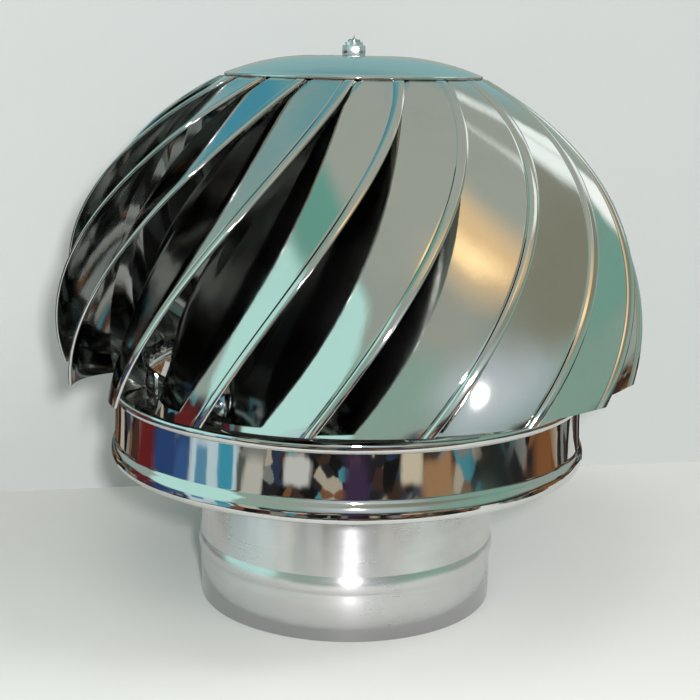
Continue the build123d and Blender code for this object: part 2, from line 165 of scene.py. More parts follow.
def spread(tree, value, low, high, to_low=0.0, to_high=1.0):
    """Spreads the values between two limits over a new range."""
    node = tree.nodes.new("ShaderNodeMapRange")
    node.inputs["From Min"].default_value = low
    node.inputs["From Max"].default_value = high
    node.inputs["To Min"].default_value = to_low
    node.inputs["To Max"].default_value = to_high
    tree.links.new(value, node.inputs["Value"])
    return node.outputs["Result"]


def maths(tree, operation, first, second=0.0):
    """One sum of two values. Either is a number or a socket."""
    node = tree.nodes.new("ShaderNodeMath")
    node.operation = operation
    for socket, value in zip(node.inputs, (first, second)):
        if isinstance(value, (int, float)):
            socket.default_value = value
        else:
            tree.links.new(value, socket)
    return node.outputs["Value"]


# Where the colour sockets of a Mix node stand.
MIX_FACTOR, MIX_BELOW, MIX_ABOVE, MIX_RESULT = 0, 6, 7, 2


def mixed(tree, mask, below, above):
    """Lays one colour over another where the mask is high. Either is a colour or a socket."""
    node = tree.nodes.new("ShaderNodeMix")
    node.data_type = "RGBA"
    tree.links.new(mask, node.inputs[MIX_FACTOR])
    for place, value in ((MIX_BELOW, below), (MIX_ABOVE, above)):
        if isinstance(value, bpy.types.NodeSocket):
            tree.links.new(value, node.inputs[place])
        else:
            node.inputs[place].default_value = value
    return node.outputs[MIX_RESULT]


def stretched(tree, vector, scale):
    """The place scaled along each axis, which stretches a pattern where the scale is small."""
    node = tree.nodes.new("ShaderNodeMapping")
    node.inputs["Scale"].default_value = scale
    tree.links.new(vector, node.inputs["Vector"])
    return node.outputs["Vector"]


def smudge_group():
    """Finger smudges and dried drops, as a roughness and as a mask for the colour."""
    group, start, end = new_group(
        "smudges",
        [("Vector", "NodeSocketVector", None), ("Clean", "NodeSocketFloat", 0.05),
         ("Smudged", "NodeSocketFloat", 0.16)],
        [("Roughness", "NodeSocketFloat"), ("Mask", "NodeSocketFloat")])
    vector = start.outputs["Vector"]
    broad = spread(group, noise(group, vector, 22.0, detail=4.0, rough=0.6), 0.45, 0.72)
    fine = spread(group, noise(group, vector, 260.0, detail=3.0, rough=0.55), 0.35, 0.7)
    drops = group.nodes.new("ShaderNodeTexVoronoi")
    drops.inputs["Scale"].default_value = 120.0
    group.links.new(vector, drops.inputs["Vector"])
    spots = spread(group, drops.outputs["Distance"], 0.05, 0.12, to_low=1.0, to_high=0.0)
    spots = maths(group, "MULTIPLY", spots, spread(group, noise(group, vector, 9.0), 0.5, 0.62))
    mask = maths(group, "MULTIPLY", broad, maths(group, "ADD", maths(group, "MULTIPLY", fine, 0.5), 0.5))
    mask = maths(group, "MAXIMUM", mask, maths(group, "MULTIPLY", spots, 0.7))
    step = maths(group, "SUBTRACT", start.outputs["Smudged"], start.outputs["Clean"])
    rough = maths(group, "ADD", maths(group, "MULTIPLY", mask, step), start.outputs["Clean"])
    group.links.new(rough, end.inputs["Roughness"])
    group.links.new(mask, end.inputs["Mask"])
    return group


def waviness_group():
    """The slow dents and the rolling ripple of thin sheet, as a height."""
    group, start, end = new_group(
        "sheet_waviness",
        [("Vector", "NodeSocketVector", None), ("Dents", "NodeSocketFloat", 1.0),
         ("Ripple", "NodeSocketFloat", 0.15)],
        [("Height", "NodeSocketFloat")])
    vector = start.outputs["Vector"]
    slow = noise(group, stretched(group, vector, (1.0, 1.0, 0.45)), 26.0, detail=1.0, rough=0.4)
    ripple = noise(group, stretched(group, vector, (1.0, 1.0, 0.2)), 210.0)
    height = maths(group, "ADD", maths(group, "MULTIPLY", slow, start.outputs["Dents"]),
                   maths(group, "MULTIPLY", ripple, start.outputs["Ripple"]))
    group.links.new(height, end.inputs["Height"])
    return group


def grain_group():
    """Fine lines that run round the axis, as left by rolling and satin finishing, and worn clouds."""
    group, start, end = new_group(
        "satin_grain",
        [("Vector", "NodeSocketVector", None), ("Clean", "NodeSocketFloat", 0.24),
         ("Worn", "NodeSocketFloat", 0.40)],
        [("Height", "NodeSocketFloat"), ("Roughness", "NodeSocketFloat"), ("Mask", "NodeSocketFloat")])
    vector = start.outputs["Vector"]
    lines = noise(group, stretched(group, vector, (0.012, 0.012, 1.0)), 5200.0, rough=0.7)
    coarse = noise(group, stretched(group, vector, (0.06, 0.06, 1.0)), 700.0, rough=0.6)
    clouds = noise(group, vector, 34.0, detail=3.0, rough=0.6)
    height = maths(group, "ADD", lines, maths(group, "MULTIPLY", coarse, 0.15))
    streaks = maths(group, "MULTIPLY", coarse, 0.25)
    mask = spread(group, maths(group, "ADD", streaks, maths(group, "MULTIPLY", clouds, 0.75)), 0.36, 0.64)
    step = maths(group, "SUBTRACT", start.outputs["Worn"], start.outputs["Clean"])
    rough = maths(group, "ADD", maths(group, "MULTIPLY", mask, step), start.outputs["Clean"])
    group.links.new(height, end.inputs["Height"])
    group.links.new(rough, end.inputs["Roughness"])
    group.links.new(mask, end.inputs["Mask"])
    return group


def patch_group():
    """1 inside a round or square-cornered patch of the room, fading to 0 past its edge."""
    group, start, end = new_group(
        "room_patch",
        (("Azimuth", "NodeSocketFloat", 0.0), ("Elevation", "NodeSocketFloat", 0.0),
         ("At azimuth", "NodeSocketFloat", 0.0), ("At elevation", "NodeSocketFloat", 0.0),
         ("Half width", "NodeSocketFloat", 0.2), ("Half height", "NodeSocketFloat", 0.2),
         ("Corner", "NodeSocketFloat", 2.0), ("Edge", "NodeSocketFloat", 0.5)),
        (("Mask", "NodeSocketFloat"),))
    put = start.outputs
    away = group.nodes.new("ShaderNodeMath")
    away.operation = "WRAP"
    away.inputs[1].default_value = math.pi
    away.inputs[2].default_value = -math.pi
    group.links.new(maths(group, "SUBTRACT", put["Azimuth"], put["At azimuth"]), away.inputs[0])
    across = maths(group, "ABSOLUTE", maths(group, "DIVIDE", away.outputs["Value"], put["Half width"]))
    up = maths(group, "SUBTRACT", put["Elevation"], put["At elevation"])
    up = maths(group, "ABSOLUTE", maths(group, "DIVIDE", up, put["Half height"]))
    total = maths(group, "ADD", maths(group, "POWER", across, put["Corner"]),
                  maths(group, "POWER", up, put["Corner"]))
    reach = maths(group, "POWER", total, maths(group, "DIVIDE", 1.0, put["Corner"]))
    fade = group.nodes.new("ShaderNodeMapRange")
    fade.interpolation_type = "SMOOTHSTEP"
    group.links.new(reach, fade.inputs["Value"])
    group.links.new(maths(group, "ADD", 1.0, put["Edge"]), fade.inputs["From Min"])
    group.links.new(maths(group, "SUBTRACT", 1.0, put["Edge"]), fade.inputs["From Max"])
    group.links.new(fade.outputs["Result"], end.inputs["Mask"])
    return group


GROUP_MAKERS = {"smudges": smudge_group, "sheet_waviness": waviness_group, "satin_grain": grain_group,
                "room_patch": patch_group}
GROUPS = {}


def group_node(tree, name, **values):
    """Places a group in a tree with its own values. The group is built at its first use."""
    if name not in GROUPS:
        GROUPS[name] = GROUP_MAKERS[name]()
    node = tree.nodes.new("ShaderNodeGroup")
    node.node_tree = GROUPS[name]
    for label, value in values.items():
        node.inputs[label].default_value = value
    return node


# ---- Materials

def new_material(name):
    """A material with its node tree, its shader and the place on the piece."""
    material = bpy.data.materials.new(name)
    material.use_nodes = True
    tree = material.node_tree
    shader = tree.nodes["Principled BSDF"]
    place = tree.nodes.new("ShaderNodeTexCoord").outputs["Object"]
    return material, tree, shader, place


def tinted(tree, shader, mask, clean, marked):
    """Base colour that shifts a little where the mask is high."""
    tree.links.new(mixed(tree, mask, clean, marked), shader.inputs["Base Color"])


def bumped(tree, shader, height, strength, distance):
    """A finish that stands up and sinks by a distance."""
    node = tree.nodes.new("ShaderNodeBump")
    node.inputs["Strength"].default_value = strength
    node.inputs["Distance"].default_value = distance
    tree.links.new(height, node.inputs["Height"])
    tree.links.new(node.outputs["Normal"], shader.inputs["Normal"])


def shade(colour, factor):
    """The same colour, made darker."""
    return (colour[0] * factor, colour[1] * factor, colour[2] * factor, 1.0)


def mirror_material(name, colour, dents, clean, smudged):
    """Bright-annealed sheet: a mirror with slow dents, smudges and dried drops."""
    material, tree, shader, place = new_material(name)
    shader.inputs["Metallic"].default_value = 1.0
    marks = group_node(tree, "smudges", Clean=clean, Smudged=smudged)
    waves = group_node(tree, "sheet_waviness", Dents=dents, Ripple=0.06)
    tree.links.new(place, marks.inputs["Vector"])
    tree.links.new(place, waves.inputs["Vector"])
    tree.links.new(marks.outputs["Roughness"], shader.inputs["Roughness"])
    tinted(tree, shader, marks.outputs["Mask"], colour, shade(colour, 0.93))
    bumped(tree, shader, waves.outputs["Height"], strength=0.35, distance=1.2 * MM)
    return material


def satin_material(name, colour, clean, worn):
    """Satin sheet with fine lines round the axis."""
    material, tree, shader, place = new_material(name)
    shader.inputs["Metallic"].default_value = 1.0
    shader.inputs["Anisotropic"].default_value = 0.9
    shader.inputs["Anisotropic Rotation"].default_value = 0.25
    tangent = tree.nodes.new("ShaderNodeTangent")
    tangent.direction_type = "RADIAL"
    tangent.axis = "Z"
    tree.links.new(tangent.outputs["Tangent"], shader.inputs["Tangent"])
    grain = group_node(tree, "satin_grain", Clean=clean, Worn=worn)
    tree.links.new(place, grain.inputs["Vector"])
    tree.links.new(grain.outputs["Roughness"], shader.inputs["Roughness"])
    tinted(tree, shader, grain.outputs["Mask"], colour, shade(colour, 0.94))
    bumped(tree, shader, grain.outputs["Height"], strength=0.05, distance=0.05 * MM)
    return material


def rubber_material(name, colour):
    """Matte rubber with a fine powdery grain."""
    material, tree, shader, place = new_material(name)
    shader.inputs["Specular IOR Level"].default_value = 0.35
    grain = noise(tree, place, 1800.0, detail=3.0, rough=0.6)
    dust = spread(tree, noise(tree, place, 90.0, detail=4.0, rough=0.6), 0.45, 0.7)
    tree.links.new(spread(tree, grain, 0.3, 0.7, to_low=0.55, to_high=0.8), shader.inputs["Roughness"])
    powder = (0.06, 0.06, 0.058, 1.0)
    tinted(tree, shader, dust, colour, powder)
    bumped(tree, shader, grain, strength=0.3, distance=0.05 * MM)
    return material


# ---- Mesh helpers

def finish_mesh(bm, name, body, replaced, material, sharp=32.0):
    """Makes a piece of a bmesh: smooth faces, edges sharp by angle, material, body, slot and its nodes."""
    for face in bm.faces:
        face.smooth = True
    for edge in bm.edges:
        if len(edge.link_faces) == 2 and edge.calc_face_angle(0.0) > math.radians(sharp):
            edge.smooth = False
    mesh = bpy.data.meshes.new(name)
    bm.to_mesh(mesh)
    bm.free()
    piece = bpy.data.objects.new(name, mesh)
    bpy.context.scene.collection.objects.link(piece)
    mesh.materials.append(material)
    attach(piece, body)
    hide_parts(*replaced)
    return piece


class Outline:
    """A line drawn in the XZ plane by extruding and turning its last point."""

    def __init__(self, bm, radius, height):
        self.bm = bm
        self.points = [bm.verts.new((radius, 0.0, height))]

    def line(self, radius, height):
        """Straight to a point."""
        made = bmesh.ops.extrude_vert_indiv(self.bm, verts=[self.points[-1]])
        made["verts"][0].co = (radius, 0.0, height)
        self.points.append(made["verts"][0])

    def arc(self, radius, height, rise, steps=8):
        """To a point along an arc that rises to the left of the straight way by that much."""
        start = self.points[-1].co.copy()
        end = Vector((radius, 0.0, height))
        chord = end - start
        half = chord.length / 2
        size = (half ** 2 + rise ** 2) / (2 * abs(rise))
        left = Vector((-chord.z, 0.0, chord.x)).normalized() * math.copysign(1.0, rise)
        centre = start + chord / 2 + left * (abs(rise) - size)
        turn = 2 * math.asin(min(1.0, half / size))
        if abs(rise) > half:
            turn = 2 * math.pi - turn
        turn *= math.copysign(1.0, rise)
        made = bmesh.ops.spin(
            self.bm, geom=[self.points[-1]], cent=centre, axis=(0.0, 1.0, 0.0), angle=turn, steps=steps,
            use_merge=False, use_duplicate=False)
        last = [item for item in made["geom_last"] if isinstance(item, bmesh.types.BMVert)][0]
        last.co = end
        self.points.append(last)


def turned(bm, steps):
    """Turns the drawn outline all round the axis."""
    bmesh.ops.spin(
        bm, geom=bm.verts[:] + bm.edges[:], cent=(0, 0, 0), axis=(0, 0, 1), angle=2 * math.pi, steps=steps,
        use_merge=True, use_duplicate=False)
    bmesh.ops.remove_doubles(bm, verts=bm.verts, dist=1e-7)
    bmesh.ops.recalc_face_normals(bm, faces=bm.faces)


def thickened(piece, thickness):
    """Gives a turned sheet its wall, on the inner side of the drawn outline."""
    wall = piece.modifiers.new("wall", "SOLIDIFY")
    wall.thickness = thickness
    wall.offset = -1.0
    wall.use_even_offset = True


def joined(bm, other):
    """Adds another bmesh to this one and frees it."""
    holder = bpy.data.meshes.new("joined")
    other.to_mesh(holder)
    other.free()
    bm.from_mesh(holder)
    bpy.data.meshes.remove(holder)


def bevelled(bm, edges, offset):
    """Rounds edges off by an offset."""
    bmesh.ops.bevel(bm, geom=edges, offset=offset, segments=3, profile=0.5, affect="EDGES", material=-1)


def edge_rise(edge):
    """How far an edge climbs."""
    return abs(edge.verts[0].co.z - edge.verts[1].co.z)


def polar(radius, azimuth):
    """A point in plan from its radius and its azimuth in radians, counted from the front towards +X."""
    return Vector((radius * math.sin(azimuth), -radius * math.cos(azimuth), 0.0))


# ---- Blades

class BladeShape:
    """The same ellipse, hem, bend and floor as the solids have, for any height."""
    # How far the bend lies inside the hem, and how fast that closes towards the top.
    DEPTH_FOOT = 22.2 * MM
    DEPTH_SWELL = 56.0 * MM
    DEPTH_CLOSING = 1.2
    # How many degrees the bend lies behind the hem.
    LAG = 20.4
    LAG_LOSS = 3.8
    LAG_FADE = 6
    # How far the face bows outwards.
    BOW_FOOT = 3.8 * MM
    BOW_TOP = 0.3 * MM
    # How wide the floor is.
    FLOOR_FOOT = 19.0 * MM
    FLOOR_TOP = 2.6 * MM
    FLOOR_SWELL = 30.0 * MM
    # How many degrees the floor dives inwards, and how many more at the foot.
    SLOPE = 30.0
    SLOPE_MORE = 32.0
    SLOPE_FADE = 6
    # Below this height over the skirt the floor ends at the collar.
    COLLAR_REACH = 21.0 * MM

    def __init__(self, s):
        self.s = s
        self.wide = s.max_radius + s.curve_shift
        share = (s.top_radius + s.curve_shift) / self.wide
        self.high = (s.top_height - s.max_height) / math.sqrt(1 - share ** 2)
        self.foot = self.angle(s.skirt_top)
        self.tip = self.angle(s.tip_height)
        self.top = self.angle(s.top_height)
        self.tip_radius = self.radius(self.tip)

    def angle(self, height):
        return math.asin((height - self.s.max_height) / self.high)

    def height(self, angle):
        return self.s.max_height + self.high * math.sin(angle)

    def radius(self, angle):
        return self.wide * math.cos(angle) - self.s.curve_shift

    def section(self, angle):
        """Hem, bend and floor end in plan, the face's bow, and the sheet's level thickness."""
        s = self.s
        share = (angle - self.foot) / (self.top - self.foot)
        rest = max(0.0, 1 - share)
        depth = rest ** self.DEPTH_CLOSING * (self.DEPTH_FOOT + self.DEPTH_SWELL * share)
        lag = math.radians(self.LAG - self.LAG_LOSS * share ** self.LAG_FADE)
        bow = self.BOW_FOOT * rest + self.BOW_TOP * share
        width = self.FLOOR_FOOT * rest + self.FLOOR_TOP * share + self.FLOOR_SWELL * share * rest ** 2
        slope = math.radians(self.SLOPE + self.SLOPE_MORE * rest ** self.SLOPE_FADE)
        azimuth = s.sweep * (angle - self.tip) / (self.top - self.tip)
        hem = polar(self.radius(angle), azimuth)
        bend = polar(self.radius(angle) - depth, azimuth - lag)
        inwards = -bend.normalized()
        backwards = polar(1.0, azimuth - lag - math.pi / 2)
        way = backwards * math.cos(slope) + inwards * math.sin(slope)
        if self.height(angle) < s.skirt_top + self.COLLAR_REACH:
            drop = bend.length * math.sin(slope)
            collar = s.collar_radius + s.sheet
            width = min(width, drop - math.sqrt(drop ** 2 - bend.length ** 2 + collar ** 2))
        lean = math.tan(angle) * self.wide / self.high
        return hem, bend, bend + way * width, bow, s.sheet * math.sqrt(1 + lean ** 2)

    def trim(self, radius):
        """Height of the sloping lower edge at a radius."""
        s = self.s
        share = (radius - s.skirt_radius) / (self.tip_radius - s.skirt_radius)
        return s.skirt_top + max(0.0, share) * (s.tip_height - s.skirt_top)


def side_step(start, end, distance):
    """A step of that length to the right of the way from start to end."""
    along = (end - start).normalized()
    return Vector((along.y, -along.x, 0.0)) * distance


def corner_step(first, corner, last, distance):
    """Where a corner comes to lie when both its sides are moved to their right by a distance."""
    one = (corner - first).normalized()
    two = (last - corner).normalized()
    middle = (side_step(first, corner, 1) + side_step(corner, last, 1)).normalized()
    return corner + middle * (distance / math.cos(one.angle(two) / 2))


# A rounded corner takes up this share of a side at most.
SIDE_SHARE = 0.48


def rounded(corners, radii, steps):
    """Points along a closed outline whose corners are rounded where they have a radius."""
    points = []
    count = len(corners)
    for i, (corner, radius) in enumerate(zip(corners, radii)):
        if not radius:
            points.append(corner)
            continue
        before = corners[i - 1] - corner
        after = corners[(i + 1) % count] - corner
        angle = before.angle(after)
        reach = min(radius / math.tan(angle / 2), before.length * SIDE_SHARE, after.length * SIDE_SHARE)
        start = corner + before.normalized() * reach
        end = corner + after.normalized() * reach
        for step in range(steps + 1):
            t = step / steps
            points.append(start * (1 - t) ** 2 + corner * 2 * t * (1 - t) + end * t ** 2)
    return points


# The hem from its edge to its fold: how far across its width, how high of its rise, and how rounded.
HEM_CROWN = ((0.0, 0.45, 0.6 * MM), (0.25, 0.95, 1.6 * MM), (0.72, 1.0, 1.6 * MM), (1.0, 0.35, 0.4 * MM))
# The groove beside the hem: how far past it, how deep, and how rounded.
GROOVE = ((0.4 * MM, 0.22 * MM, 0.15 * MM), (1.2 * MM, 0.0, 0.5 * MM))
# The bowed face starts this far past the hem and ends this far before the bend.
FACE_PAST_HEM = 2.0 * MM
FACE_BEFORE_BEND = 5.0 * MM
# The floor has one more point, at this share of its width.
FLOOR_MIDDLE = 0.6
FLOOR_EDGE_RADIUS = 0.2 * MM
HEM_BACK_RADIUS = 0.6 * MM
CORNER_STEPS = 4


def blade_outline(shape, angle):
    """The closed outline of a blade at one level, with the hem's rounded edge and the groove beside it."""
    s = shape.s
    hem, bend, floor, bow, thick = shape.section(angle)
    outwards = side_step(hem, bend, -1.0)
    length = (bend - hem).length

    def face(share):
        return hem.lerp(bend, share) + outwards * (4 * bow * share * (1 - share))

    along = (bend - hem + outwards * 4 * bow).normalized()
    rise = side_step(hem, hem + along, -1.0)
    lift = s.hem_rise * thick / s.sheet
    corners = [hem + along * s.hem_width * across + rise * lift * up for across, up, _ in HEM_CROWN]
    corners += [face((s.hem_width + past) / length) - rise * deep for past, deep, _ in GROOVE]
    radii = [radius for _, _, radius in HEM_CROWN + GROOVE]
    first = (s.hem_width + FACE_PAST_HEM) / length
    last = 1 - FACE_BEFORE_BEND / length
    shares = [first + (last - first) * i / (s.columns - 1) for i in range(s.columns)]
    corners += [face(share) for share in shares]
    radii += [0.0] * s.columns
    inner_bend = corner_step(face(last), bend, floor, thick)
    inner_floor = floor + side_step(bend, floor, thick)
    corners += [bend, bend.lerp(floor, FLOOR_MIDDLE), floor,
                inner_floor, inner_bend.lerp(inner_floor, FLOOR_MIDDLE), inner_bend]
    radii += [s.bend, 0.0, FLOOR_EDGE_RADIUS, FLOOR_EDGE_RADIUS, 0.0, s.bend + thick]
    corners += [face(share) - outwards * thick for share in reversed(shares)]
    radii += [0.0] * s.columns
    corners.append(hem - outwards * thick)
    radii.append(HEM_BACK_RADIUS)
    return rounded(corners, radii, CORNER_STEPS)


def lowest_angle(shape, index):
    """Where a point of the outline meets the sloping lower edge."""
    above_tip = 2.0 * MM
    halvings = 18
    low = shape.foot
    high = shape.angle(shape.s.tip_height + above_tip)
    for _ in range(halvings):
        middle = (low + high) / 2
        point = blade_outline(shape, middle)[index]
        if shape.height(middle) < shape.trim(point.length):
            low = middle
        else:
            high = middle
    return high


# Faces that look inwards by more than this share take the inner material: the same steel, rougher and
# darkened as painted shade for the shaded inside of the cowl.
INWARD_SHARE = 0.25


def blade_mesh(shape):
    """One blade with its tip at azimuth zero: its level outline is extruded up the ellipse."""
    s = shape.s
    first = blade_outline(shape, shape.foot)
    count = len(first)
    feet = [lowest_angle(shape, i) for i in range(count)]
    outlines = {}
    bm = bmesh.new()
    ring = bmesh.ops.create_circle(bm, cap_ends=True, segments=count, radius=0.01)["verts"]
    cap = bm.faces[:]
    for level in range(s.levels + 1):
        if level:
            made = bmesh.ops.extrude_face_region(bm, geom=cap)
            if level > 1:
                bmesh.ops.delete(bm, geom=cap, context="FACES_ONLY")
            cap = [item for item in made["geom"] if isinstance(item, bmesh.types.BMFace)]
            loop = ordered_loop(cap[0], ring)
        else:
            loop = ring
        share = level / s.levels
        for i, vert in enumerate(loop):
            angle = feet[i] + (shape.top - feet[i]) * share
            key = round(angle, 9)
            if key not in outlines:
                outlines[key] = blade_outline(shape, angle)
            point = outlines[key][i]
            vert.co = (point.x, point.y, shape.height(angle))
        ring = loop
    bmesh.ops.recalc_face_normals(bm, faces=bm.faces)
    for face in bm.faces:
        middle = face.calc_center_median()
        facing = face.normal.x * middle.x + face.normal.y * middle.y
        inwards = facing < -INWARD_SHARE * math.hypot(middle.x, middle.y)
        face.material_index = 1 if inwards else 0
    return bm


def ordered_loop(face, below):
    """The corners of the new cap in the order of the ring they were extruded from."""
    above = set(face.verts)
    loop = []
    for vert in below:
        beside = [edge.other_vert(vert) for edge in vert.link_edges]
        loop.append([other for other in beside if other in above][0])
    return loop


def add_sector(bm, low, high, bottom, top, start, sweep, steps):
    """A piece of a ring, bent from a flat strip and given its thickness."""
    strip = bmesh.new()
    bmesh.ops.create_grid(strip, x_segments=steps, y_segments=1, size=0.5)
    made = bmesh.ops.extrude_face_region(strip, geom=strip.faces[:])["geom"]
    upper = [item for item in made if isinstance(item, bmesh.types.BMVert)]
    bmesh.ops.translate(strip, verts=upper, vec=(0.0, 0.0, 1.0))
    for vert in strip.verts:
        x, y, z = vert.co
        place = polar(low + (high - low) * (y + 0.5), start + sweep * (x + 0.5))
        vert.co = (place.x, place.y, bottom + (top - bottom) * z)
    bmesh.ops.recalc_face_normals(strip, faces=strip.faces)
    joined(bm, strip)


# The tabs that fasten a blade: at its foot outside the collar, and at its top on the crown plate.
FOOT_TAB_SEAT = 0.02 * MM
FOOT_TAB_HEIGHT = 10.0 * MM
FOOT_TAB_START = math.radians(-31.0)
FOOT_TAB_SWEEP = math.radians(14.5)
TOP_TAB_DEPTH = 13.5 * MM
TOP_TAB_LAG = math.radians(15.8)
TOP_TAB_SWEEP = math.radians(15.0)
TAB_STEPS = 10


class COWL_OT_blades(bpy.types.Operator):
    """Swirl blades: hem, face, bend and diving floor, one sheet each"""
    bl_idname = "cowl.blades"
    bl_label = "Blades"

    def execute(self, context):
        s = context.scene.cowl_sizes
        c = context.scene.cowl_colours
        shape = BladeShape(s)
        material = mirror_material("blade_steel", c.mirror, dents=0.55, clean=0.045, smudged=0.13)
        # The inward-looking faces get a darker, rougher copy of the blade steel: the darkening is painted
        # shade for the shaded inside.
        inside = mirror_material(
            "blade_steel_inside_painted_shade", shade(c.mirror, 0.70), dents=0.55, clean=0.09, smudged=0.20)
        seed = blade_mesh(shape)
        foot = s.skirt_top + s.sheet
        add_sector(seed, s.collar_radius + FOOT_TAB_SEAT, s.collar_radius + s.sheet, foot,
                   foot + FOOT_TAB_HEIGHT, FOOT_TAB_START, FOOT_TAB_SWEEP, TAB_STEPS)
        add_sector(seed, s.top_radius - TOP_TAB_DEPTH, s.top_radius - s.hem_rise, s.top_height - s.sheet,
                   s.top_height, s.sweep - TOP_TAB_LAG, TOP_TAB_SWEEP, TAB_STEPS)
        for i, node in enumerate(BLADES):
            bm = seed.copy()
            turn = s.phase + i * 2 * math.pi / len(BLADES)
            bmesh.ops.rotate(bm, verts=bm.verts, cent=(0, 0, 0), matrix=Matrix.Rotation(turn, 3, "Z"))
            piece = finish_mesh(bm, f"swirl_{node}", "rotor", [node], material)
            piece.data.materials.append(inside)
        seed.free()
        return {"FINISHED"}


# ---- Turned sheet pieces

class COWL_OT_skirt(bpy.types.Operator):
    """Beaded skirt ring with its flange and collar"""
    bl_idname = "cowl.skirt"
    bl_label = "Skirt ring"

    def execute(self, context):
        s = context.scene.cowl_sizes
        c = context.scene.cowl_colours
        bm = bmesh.new()
        wall = s.skirt_radius
        crest = wall + 2.3 * MM
        collar_top = s.skirt_top + 11.0 * MM
        fold = 1.5 * MM
        upper_crest, wall_top = 110.5 * MM, 106.6 * MM
        wall_foot, lower_crest, edge = 84.5 * MM, 78.7 * MM, 75.0 * MM
        out = Outline(bm, s.collar_radius, collar_top)
        out.line(s.collar_radius, s.skirt_top + fold)
        out.arc(s.collar_radius + fold, s.skirt_top, rise=-0.44 * MM, steps=6)
        out.line(wall - 1.0 * MM, s.skirt_top)
        out.arc(crest, upper_crest, rise=0.75 * MM)
        out.arc(wall, wall_top, rise=0.75 * MM)
        out.arc(wall + 0.6 * MM, wall_foot, rise=-0.25 * MM, steps=12)
        out.arc(crest, lower_crest, rise=0.6 * MM)
        out.arc(wall + s.sheet, edge, rise=0.5 * MM)
        turned(bm, s.turns)
        material = mirror_material("polished_steel", c.mirror, dents=0.35, clean=0.035, smudged=0.10)
        piece = finish_mesh(
            bm, "beaded_skirt", "rotor", ["skirt_ring"], material, sharp=60.0)
        thickened(piece, s.sheet)
        return {"FINISHED"}


class COWL_OT_neck(bpy.types.Operator):
    """Fixed neck with its stiffening bead and rolled lip"""
    bl_idname = "cowl.neck"
    bl_label = "Neck"

    def execute(self, context):
        s = context.scene.cowl_sizes
        c = context.scene.cowl_colours
        bm = bmesh.new()
        radius = 75.0 * MM
        bead_foot, bead_top, bead_fillet, bead_step = 24.0 * MM, 32.0 * MM, 0.8 * MM, 0.2 * MM
        lip_foot, lip_width = 102.0 * MM, 4.0 * MM
        out = Outline(bm, radius, 0.0)
        out.line(radius, 21.0 * MM)
        out.line(radius, bead_foot - bead_fillet)
        out.arc(radius + bead_step, bead_foot, rise=0.06 * MM, steps=2)
        out.arc(radius + bead_step, bead_top, rise=-1.05 * MM, steps=12)
        out.arc(radius, bead_top + bead_fillet, rise=0.06 * MM, steps=2)
        out.line(radius, 60.0 * MM)
        out.line(radius, lip_foot)
        out.arc(radius + lip_width, lip_foot + lip_width, rise=1.17 * MM, steps=6)
        turned(bm, s.turns)
        material = satin_material("neck_steel", c.satin, clean=0.20, worn=0.28)
        piece = finish_mesh(bm, "satin_neck", "stator", ["neck_tube"], material, sharp=60.0)
        thickened(piece, s.sheet)
        return {"FINISHED"}


STUD_HOLE = 3.05 * MM
SMALL_TURN_STEPS = 48


class COWL_OT_top(bpy.types.Operator):
    """Shallow domed top disc with its seal and domed nut"""
    bl_idname = "cowl.top"
    bl_label = "Top disc"

    def execute(self, context):
        s = context.scene.cowl_sizes
        c = context.scene.cowl_colours
        bm = bmesh.new()
        low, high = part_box("top_disc")
        rim, dome_edge, rim_top = 63.3 * MM, 265.7 * MM, 265.1 * MM
        out = Outline(bm, STUD_HOLE, high.z)
        out.arc(rim - 1.0 * MM, dome_edge, rise=3.9 * MM, steps=28)
        out.arc(rim, rim_top, rise=0.18 * MM, steps=4)
        out.line(rim, low.z)
        turned(bm, s.turns)
        material = mirror_material("disc_steel", c.mirror, dents=0.3, clean=0.05, smudged=0.12)
        piece = finish_mesh(bm, "domed_disc", "rotor", ["top_disc"], material, sharp=60.0)
        thickened(piece, s.sheet)
        self.seal(c)
        self.nut(c)
        return {"FINISHED"}

    def seal(self, c):
        low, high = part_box("seal_washer")
        bm = bmesh.new()
        edge = 5.1 * MM
        out = Outline(bm, STUD_HOLE, low.z)
        out.line(edge, low.z)
        out.arc(edge, high.z, rise=-0.3 * MM, steps=6)
        out.line(STUD_HOLE, high.z)
        turned(bm, SMALL_TURN_STEPS)
        finish_mesh(bm, "seal_ring", "rotor", ["seal_washer"], rubber_material("seal_rubber", c.rubber))

    def nut(self, c):
        low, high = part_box("cap_nut")
        bm = bmesh.new()
        flats = 10.0 * MM
        hexagon = 5.2 * MM
        corner = flats / math.sqrt(3)
        bmesh.ops.create_cone(
            bm, cap_ends=True, segments=6, radius1=corner, radius2=corner, depth=hexagon,
            matrix=Matrix.Translation((0, 0, low.z + hexagon / 2)) @ Matrix.Rotation(math.pi / 6, 4, "Z"))
        bevelled(bm, [edge for edge in bm.edges if edge_rise(edge) > 1 * MM], 0.35 * MM)
        bevelled(bm, [edge for edge in bm.edges if edge_rise(edge) < 0.1 * MM], 0.4 * MM)
        dome = bmesh.new()
        dome_radius = 4.3 * MM
        skirt_foot, skirt_top = low.z + 4.6 * MM, low.z + 5.3 * MM
        out = Outline(dome, 4.55 * MM, skirt_foot)
        out.line(4.4 * MM, skirt_top)
        out.line(dome_radius, high.z - dome_radius)
        out.arc(0.0, high.z, rise=1.26 * MM, steps=14)
        turned(dome, SMALL_TURN_STEPS)
        joined(bm, dome)
        material = mirror_material("zinc_steel", c.zinc, dents=0.1, clean=0.10, smudged=0.22)
        finish_mesh(bm, "domed_nut", "rotor", ["cap_nut"], material, sharp=40.0)


# Each foot has two rivets, this many degrees behind the blade's tip.
RIVET_LAGS = (20.0, 28.8)
RIVET_HEIGHT = 5.5 * MM


